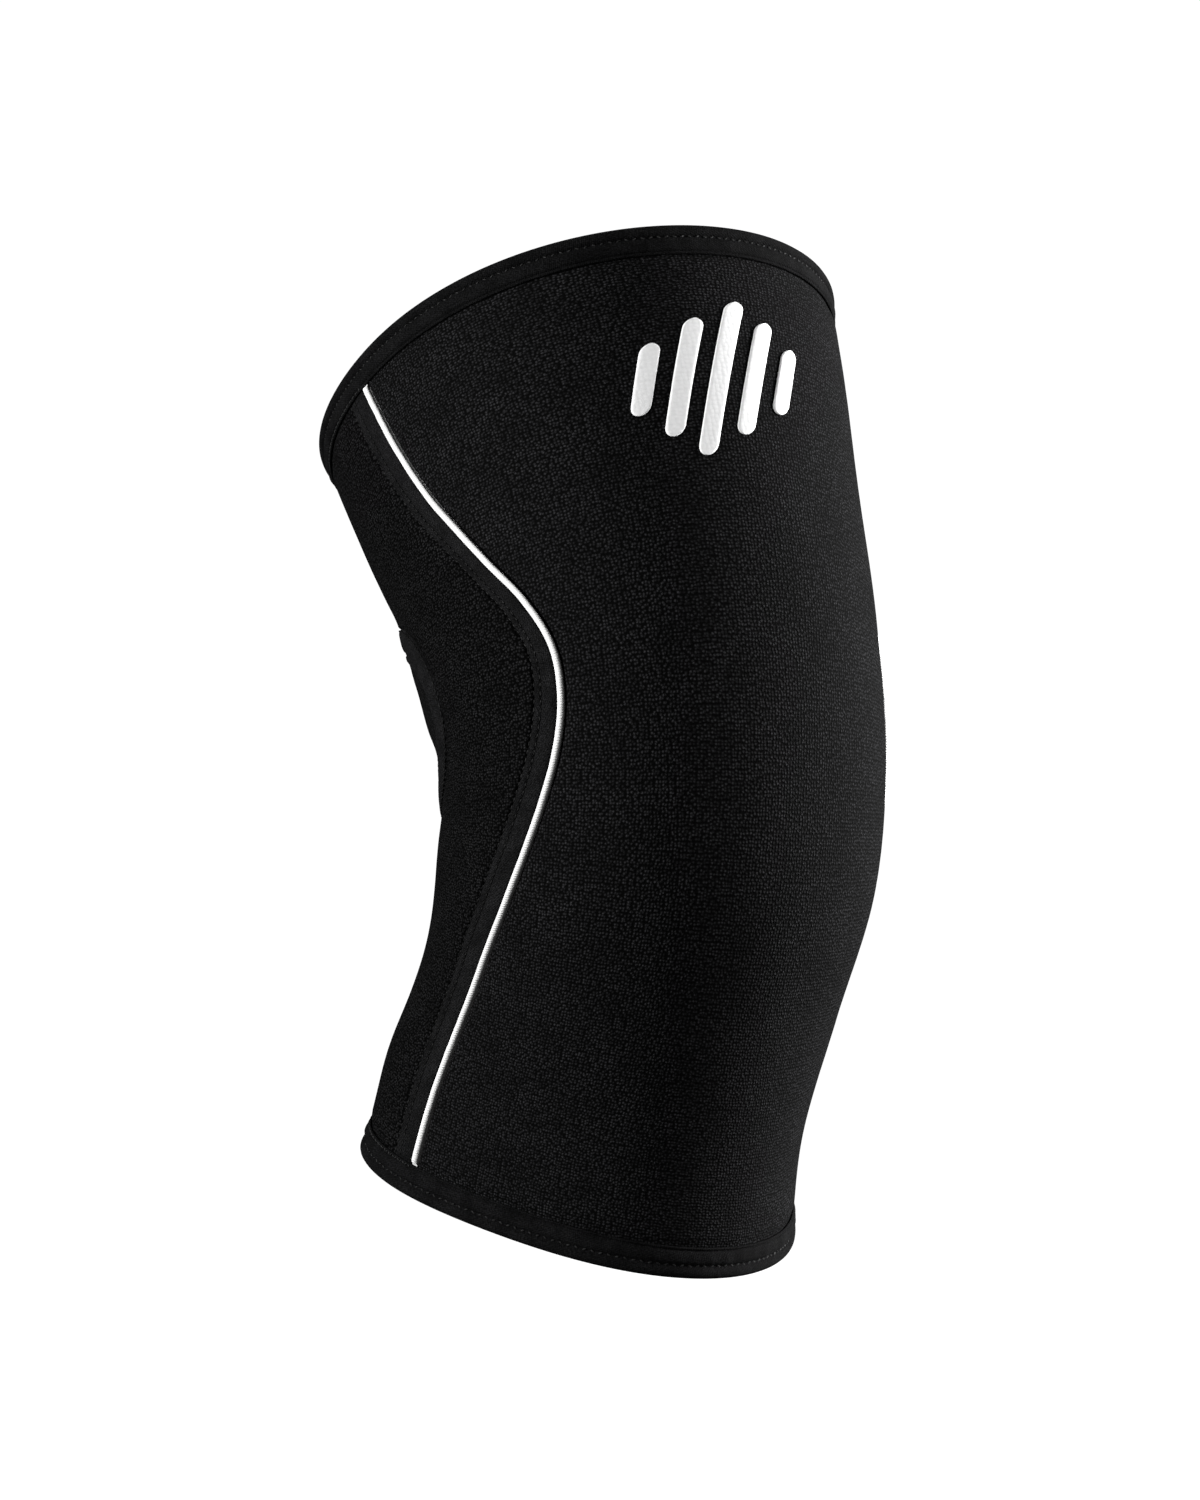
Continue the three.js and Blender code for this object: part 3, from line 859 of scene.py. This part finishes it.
def window_band():
    """The sewn band round the insert, gathered between two rows of stitches."""
    turn = np.arange(640) * (360 / 640)
    width = INSERT_BAND_WIDTH
    # distance outward from the window's edge, and depth
    profile = [
        (-0.3, 4.6), (-0.4, 2.4), (-0.6, 1.4), (-0.85, 0.7), (-1.2, 0.15), (-1.8, -0.3), (-2.6, -0.6),
        (-3.5, -0.8), (-4.2, -0.92), (-5.0, -0.9), (-5.6, -0.75), (-6.1, -0.35), (-6.45, 0.2),
        (-6.7, 0.45), (-6.95, 0.2), (-7.4, -0.3), (-7.9, -0.42), (-8.5, -0.3),
        (-width, 0.1), (-width, 1.2), (-width, 4.6), (-6.0, 4.9), (-3.0, 4.9),
    ]
    outward, base = np.array(profile).T.copy()
    share, angle = window_at(turn[:, None], outward[None])
    run, total = ring_run(place(*window_at(turn, -4.0), 0.0))
    round_it = np.degrees(run / total * 2 * math.pi)
    jitter = 0.8 * ring_waves(round_it, 40, 41)
    gathers = ring_gathers(run, total, INSERT_BAND_PITCH, jitter, ring_waves(round_it, 25, 43))
    shown = (base < 0.6) * np.exp(-((outward + 5.0) / 3.2) ** 2)
    stand = 0.8 - 0.5 * np.abs(np.sin(np.radians(turn))) ** 1.5
    depth = np.where(base < 0, base[None] * stand[:, None], base[None])
    depth = depth + INSERT_BAND_PUCKER * shown[None] * gathers[:, None]
    rings = place(share, angle, depth)
    across = outline_run(outward, base)
    marks = cloth_marks(np.append(across, across[-1] + 3), np.append(run, total))
    return tube("insert_band_cloth", rings, marks, strip_cloth, closed=True)


insert_band = window_band()
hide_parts("insert_band")

line_turn = np.linspace(0, 360, 721)
insert_rows = []
for outward, depth, slant in ((-6.7, 0.3, 6), (-1.0, 0.3, 0)):
    share, angle = window_at(line_turn, outward)
    insert_rows.append(row_of_stitches(share, angle, depth, STITCH_PITCH, slant))
insert_stitches = stitches(
    "insert_band_stitches", *joined_rows(insert_rows),
    STITCH_LENGTH, THREAD_WIDTH, THREAD_HEIGHT, black_thread,
)


# The cords and the stitched strips of the side seams


def mirrored(points):
    return points * np.array([-1.0, 1.0, 1.0])


def cord_rings():
    """A round-topped cord with small ribs across it, and its flange down in the seam."""
    share = rim_to_rim(1150)
    half = CORD_DRAWN * CORD_WIDTH / 2
    stem = 0.4 * half
    # distance beside the cord's middle, and depth
    outline = [(stem, CORD_DEPTH), (stem, 1.5), (stem, 0.95), (0.75 * half, 0.6)]
    for turn in np.radians(np.linspace(0, 180, 11)):
        outline.append((half * math.cos(turn), 0.15 - 0.98 * math.sin(turn)))
    outline += [(-0.75 * half, 0.6), (-stem, 0.95), (-stem, 1.5), (-stem, CORD_DEPTH)]
    distance, base = np.array(outline).T.copy()
    run = line_run(place(share, beside_cord(share, 0.0), 0.0))
    rib = 0.5 + 0.5 * np.cos(2 * math.pi * run / CORD_RIB)
    uneven = waves(run, run * 0, 5, 51)
    angles = cord_lattice(share, distance)
    crown = base < 0.3
    relief = CORD_RIB_DEPTH * (1 - rib) + CORD_WAVE * uneven
    depth = base[None] + crown[None] * relief[:, None]
    shares = np.broadcast_to(share[:, None], angles.shape)
    depth = pressed(depth, shares, angles, soft=1.5)
    across = outline_run(distance, base)
    marks = cloth_marks(np.append(across, across[-1] + 2.2), run)
    return place(shares, angles, depth), marks


def strip_rings():
    """A strip, smooth and crowned by the cord, and gathered between two rows of stitches behind that."""
    share = rim_to_rim(640)
    width = strip_width(share)
    seam = STRIP_SMOOTH_PART
    # part of the width, and depth
    outline = [
        (-0.01, STRIP_DEPTH), (-0.02, 1.0), (-0.022, 0.4), (-0.015, 0.0), (0.015, -0.28), (0.08, -0.45),
        (0.2, -0.5), (0.34, -0.5), (0.46, -0.46), (0.54, -0.38),
        (seam - 0.05, -0.2), (seam - 0.02, 0.08), (seam, 0.42), (seam + 0.02, 0.08), (seam + 0.05, -0.2),
        (0.74, -0.34), (0.8, -0.36), (0.86, -0.28), (0.91, -0.1), (0.945, 0.15), (0.97, 0.4), (0.985, 0.8),
        (0.99, STRIP_DEPTH),
    ]
    part, base = np.array(outline).T.copy()
    distances = STRIP_START + part[None] * width[:, None]
    angles = cord_lattice(share, distances.T)
    run = line_run(place(share, beside_cord(share, STRIP_START + width / 2), 0.0))
    gathers = puckers(run, STITCH_PITCH, 61)
    shown = (base < 0.35) * np.exp(-((part - 0.78) / 0.16) ** 2)
    soft = (base < 0.35) * np.exp(-((part - 0.3) / 0.28) ** 2)
    depth = base[None] + STRIP_PUCKER * shown[None] * gathers[:, None]
    depth = depth + STRIP_WAVE * soft[None] * waves(run[:, None], part[None] * 9, 3.5, 63)
    shares = np.broadcast_to(share[:, None], angles.shape)
    depth = pressed(depth, shares, angles, soft=2.0)
    across = part * STRIP_WIDTH + np.concatenate([[0], np.cumsum(np.abs(np.diff(base)))])
    marks = cloth_marks(np.append(across, across[-1] + STRIP_WIDTH), run)
    return place(shares, angles, depth), marks


def strip_stitch_rows():
    """The two rows along a strip, from one binding to the other."""
    share = rim_to_rim(900, end=BINDING_WIDTH + 0.6)
    width = strip_width(share)
    rows = []
    for part, depth in ((STRIP_SMOOTH_PART, -0.1), (0.93, -0.04)):
        angle = beside_cord(share, STRIP_START + part * width)
        rows.append(row_of_stitches(share, angle, depth, STITCH_PITCH, 6))
    return joined_rows(rows)


rings, marks = cord_rings()
strip, strip_marks = strip_rings()
centres, heading, out = strip_stitch_rows()
for side, turned in (("right", lambda p: p), ("left", mirrored)):
    cord = tube(f"piping_{side}_cord", turned(rings), marks, cord_cloth)
    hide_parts(f"piping_{side}")
    band = tube(f"seam_band_{side}_cloth", turned(strip), strip_marks, strip_cloth)
    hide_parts(f"seam_band_{side}")
    sewn = stitches(
        f"seam_band_{side}_stitches", turned(centres), turned(heading), turned(out),
        STITCH_LENGTH, STRIP_THREAD_WIDTH, THREAD_HEIGHT, black_thread,
    )


# The bindings


# The cross-section of a binding, as distance in from the rim and depth. It starts at the folded edge
# outside, goes round the rim to the inside and comes back between the leaves and the panel.
BINDING_OUTLINE = (
    (9.0, 0.4), (9.02, 0.15), (8.9, -0.05), (8.7, -0.16), (8.5, -0.15), (8.32, 0.1), (8.15, 0.35),
    (7.98, 0.15), (7.75, -0.18), (7.4, -0.36), (6.8, -0.5), (6.0, -0.62), (5.3, -0.68), (4.8, -0.62),
    (4.4, -0.42), (4.1, -0.08), (3.85, 0.12), (3.6, -0.08), (3.3, -0.5), (2.9, -0.76), (2.4, -0.9),
    (1.9, -0.98), (1.4, -0.96), (0.95, -0.76), (0.5, -0.3), (0.2, 0.25), (0.03, 0.95),
    (0.0, 2.5), (0.03, 3.4), (0.25, 4.3), (0.7, 5.1), (1.3, 5.6), (2.2, 5.8), (4.0, 5.8), (6.0, 5.75),
    (7.4, 5.6), (8.0, 5.2), (8.0, 4.6), (5.0, 4.6), (1.3, 4.6), (1.2, 2.5), (1.3, 0.4), (5.0, 0.4),
)


def binding(name, node, top, seed):
    """A binding, gathered by its topstitch and by its folded edge."""
    distance, base = np.array(BINDING_OUTLINE).T.copy()
    angle = np.arange(960) * (360 / 960)
    run, total = ring_run(place(from_rim(top, BINDING_STITCH_AT, angle), angle, 0.0))
    jitter = 0.7 * ring_waves(angle, 60, seed)
    gathers = ring_gathers(run, total, STITCH_PITCH, jitter, ring_waves(angle, 45, seed + 1))
    shown = (base < 0.35) & (distance > 0.6)
    by_stitch = np.exp(-((distance - BINDING_STITCH_AT) / 1.1) ** 2) * shown
    by_edge = np.exp(-((distance - 8.2) / 0.9) ** 2) * shown
    swell = np.exp(-((distance - 6.0) / 1.6) ** 2) * shown
    pucker = BINDING_STITCH_PUCKER * by_stitch[None] + BINDING_EDGE_PUCKER * by_edge[None]
    depth = base[None] + pucker * gathers[:, None]
    depth = depth - BINDING_WAVE * swell[None] * ring_waves(angle, 90, seed + 2)[:, None]
    shares = from_rim(top, distance[None], angle[:, None])
    rings = place(shares, angle[:, None], depth)
    across = outline_run(distance, base)
    marks = cloth_marks(np.append(across, across[-1] + 4), np.append(run, total))
    obj = tube(name, rings, marks, binding_cloth, closed=True)
    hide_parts(node)
    return obj


def binding_stitches(name, top):
    """Topstitch round the binding, and a closer slanted row by its folded edge behind the cords."""
    whole = np.linspace(-180, 180, 1441)
    rows = [row_of_stitches(from_rim(top, BINDING_STITCH_AT, whole), whole, 0.02, STITCH_PITCH, 28)]
    seam_end = float(seam_angle(1.0 if top else 0.0))
    behind = np.linspace(seam_end + 1, 359 - seam_end, 900)
    rows.append(row_of_stitches(from_rim(top, EDGE_STITCH_AT, behind), behind, 0.08, EDGE_STITCH_PITCH, 38))
    obj = stitches(
        name, *joined_rows(rows),
        BINDING_STITCH_LENGTH, BINDING_THREAD_WIDTH, BINDING_THREAD_HEIGHT, grey_thread,
    )
    return obj


top_binding = binding("top_binding_tape", "top_binding", True, 71)
bottom_binding = binding("bottom_binding_tape", "bottom_binding", False, 81)
top_stitches = binding_stitches("top_binding_stitches", True)
bottom_stitches = binding_stitches("bottom_binding_stitches", False)


# The print


def bar(name, offset, length):
    """A slanted bar with round ends, laid on the front panel with a soft edge."""
    half = BAR_WIDTH / 2
    up = float(per_share(BAR_SHARE, 0.0))
    round_it = float(per_degree(BAR_SHARE, 0.0))
    turn = np.linspace(0, math.pi, 90)
    lengthwise = -np.cos(turn) * length / 2
    to_end = np.clip((length / 2 - np.abs(lengthwise)) / half, 0, 1)
    half_here = half * np.maximum(np.sqrt(to_end * (2 - to_end)), 0.05)
    line = np.linspace(-1, 1, 17)
    across = np.concatenate([line, -line])
    crown = GAP + BAR_THICKNESS * (0.35 + 0.65 * (1 - np.abs(line) ** 8))
    top = np.concatenate([crown, np.full(len(line), GAP)])
    leaning = lengthwise * math.tan(math.radians(BAR_LEAN))
    sideways = offset + across[None] * half_here[:, None] + leaning[:, None]
    share = np.broadcast_to((BAR_SHARE + lengthwise / up)[:, None], sideways.shape)
    angle = PRINT_ANGLE + sideways / round_it
    rings = place(share, angle, -top[None] + PRINT_SUNK)
    marks = np.stack([angle * DEGREE_LENGTH, share * FRONT_LENGTH], -1)
    marks = np.concatenate([marks, marks[:, :1]], 1)
    obj = tube(name + "_ink", rings, marks, print_ink)
    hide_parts(name)


for i, (name, length) in enumerate(BARS):
    bar(name, (i - (len(BARS) - 1) / 2) * BAR_PITCH, length * LONGEST_BAR)


# Camera, floor and light

# Angles are in degrees and lengths in metres here. An azimuth goes round from the front to +X.
CAMERA_AZIMUTH = -32
CAMERA_ELEVATION = -4
CAMERA_DISTANCE = 1.4
PIXELS_PER_MM = 3.55  # at the knee
IMAGE_HEIGHT = 1500  # pixels
SENSOR_WIDTH = 36  # millimetres
AIM_RIGHT = -0.0159  # of the point looked at, from the origin
AIM_UP = 0.009
SURROUND_LIGHT = 0.115
BACKDROP_GLOW = 1.0


def direction(azimuth, elevation):
    """The unit vector out from the knee at an azimuth and an elevation."""
    a = math.radians(azimuth)
    e = math.radians(elevation)
    return Vector((math.sin(a) * math.cos(e), -math.cos(a) * math.cos(e), math.sin(e)))


back = direction(CAMERA_AZIMUTH, CAMERA_ELEVATION)
right = (-back).cross(Vector((0, 0, 1))).normalized()
up = right.cross(-back)
camera_data = bpy.data.cameras.new("camera")
camera = bpy.data.objects.new("camera", camera_data)
bpy.context.scene.collection.objects.link(camera)
camera.location = right * AIM_RIGHT + up * AIM_UP + back * CAMERA_DISTANCE
camera.rotation_mode = "QUATERNION"
camera.rotation_quaternion = (-back).to_track_quat("-Z", "Y")
camera_data.sensor_width = SENSOR_WIDTH
camera_data.lens = SENSOR_WIDTH * PIXELS_PER_MM * CAMERA_DISTANCE * 1000 / IMAGE_HEIGHT
camera_data.clip_end = 50
bpy.context.scene.camera = camera

bpy.context.scene.view_settings.view_transform = "Standard"

world = bpy.data.worlds.new("studio")
bpy.context.scene.world = world
world.use_nodes = True
world.node_tree.nodes["Background"].inputs["Color"].default_value = (1, 1, 1, 1)
world.node_tree.nodes["Background"].inputs["Strength"].default_value = SURROUND_LIGHT


def floor_and_wall():
    """A pale round floor that curves up into a wall on every side. It is seen but lights nothing."""
    reach = 5.0
    bend = 1.5
    wall_height = 9.0
    floor_z = -0.19
    line = [(0.01, 0.0), (reach, 0.0)]
    for turn in np.radians(np.linspace(5, 90, 18)):
        line.append((reach + bend * math.sin(turn), bend * (1 - math.cos(turn))))
    line.append((reach + bend, wall_height))
    around = np.radians(np.arange(0, 360, 5))
    points = []
    for radius, height in line:
        points += [(radius * math.sin(turn), radius * math.cos(turn), floor_z + height) for turn in around]
    count = len(around)
    faces = []
    for ring in range(len(line) - 1):
        here = ring * count
        above = here + count
        for k in range(count):
            after = (k + 1) % count
            faces.append((here + k, here + after, above + after, above + k))
    faces.append(tuple(range(count - 1, -1, -1)))
    mesh = bpy.data.meshes.new("floor")
    mesh.from_pydata(points, [], faces)
    mesh.polygons.foreach_set("use_smooth", [True] * len(faces))
    obj = bpy.data.objects.new("floor", mesh)
    bpy.context.scene.collection.objects.link(obj)
    obj.visible_diffuse = False
    obj.visible_glossy = False
    paint = bpy.data.materials.new("pale_floor")
    paint.use_nodes = True
    shader = paint.node_tree.nodes["Principled BSDF"]
    shader.inputs["Base Color"].default_value = (0.25, 0.25, 0.25, 1)
    shader.inputs["Roughness"].default_value = 0.9
    shader.inputs["Specular IOR Level"].default_value = 0.1
    shader.inputs["Emission Color"].default_value = (1, 1, 1, 1)
    shader.inputs["Emission Strength"].default_value = BACKDROP_GLOW
    mesh.materials.append(paint)


floor_and_wall()


def softbox(name, azimuth, elevation, distance, size, power):
    """A rectangular area light aimed at the knee. size is its width and height."""
    data = bpy.data.lights.new(name, "AREA")
    data.shape = "RECTANGLE"
    data.size, data.size_y = size
    data.energy = power
    light = bpy.data.objects.new(name, data)
    out = direction(azimuth, elevation)
    light.location = out * distance
    light.rotation_mode = "QUATERNION"
    light.rotation_quaternion = (-out).to_track_quat("-Z", "Y")
    bpy.context.scene.collection.objects.link(light)


softbox("key_right", azimuth=70, elevation=6, distance=1.3, size=(0.6, 1.2), power=78)
softbox("fill_left", azimuth=-88, elevation=10, distance=1.3, size=(0.6, 1.2), power=31)
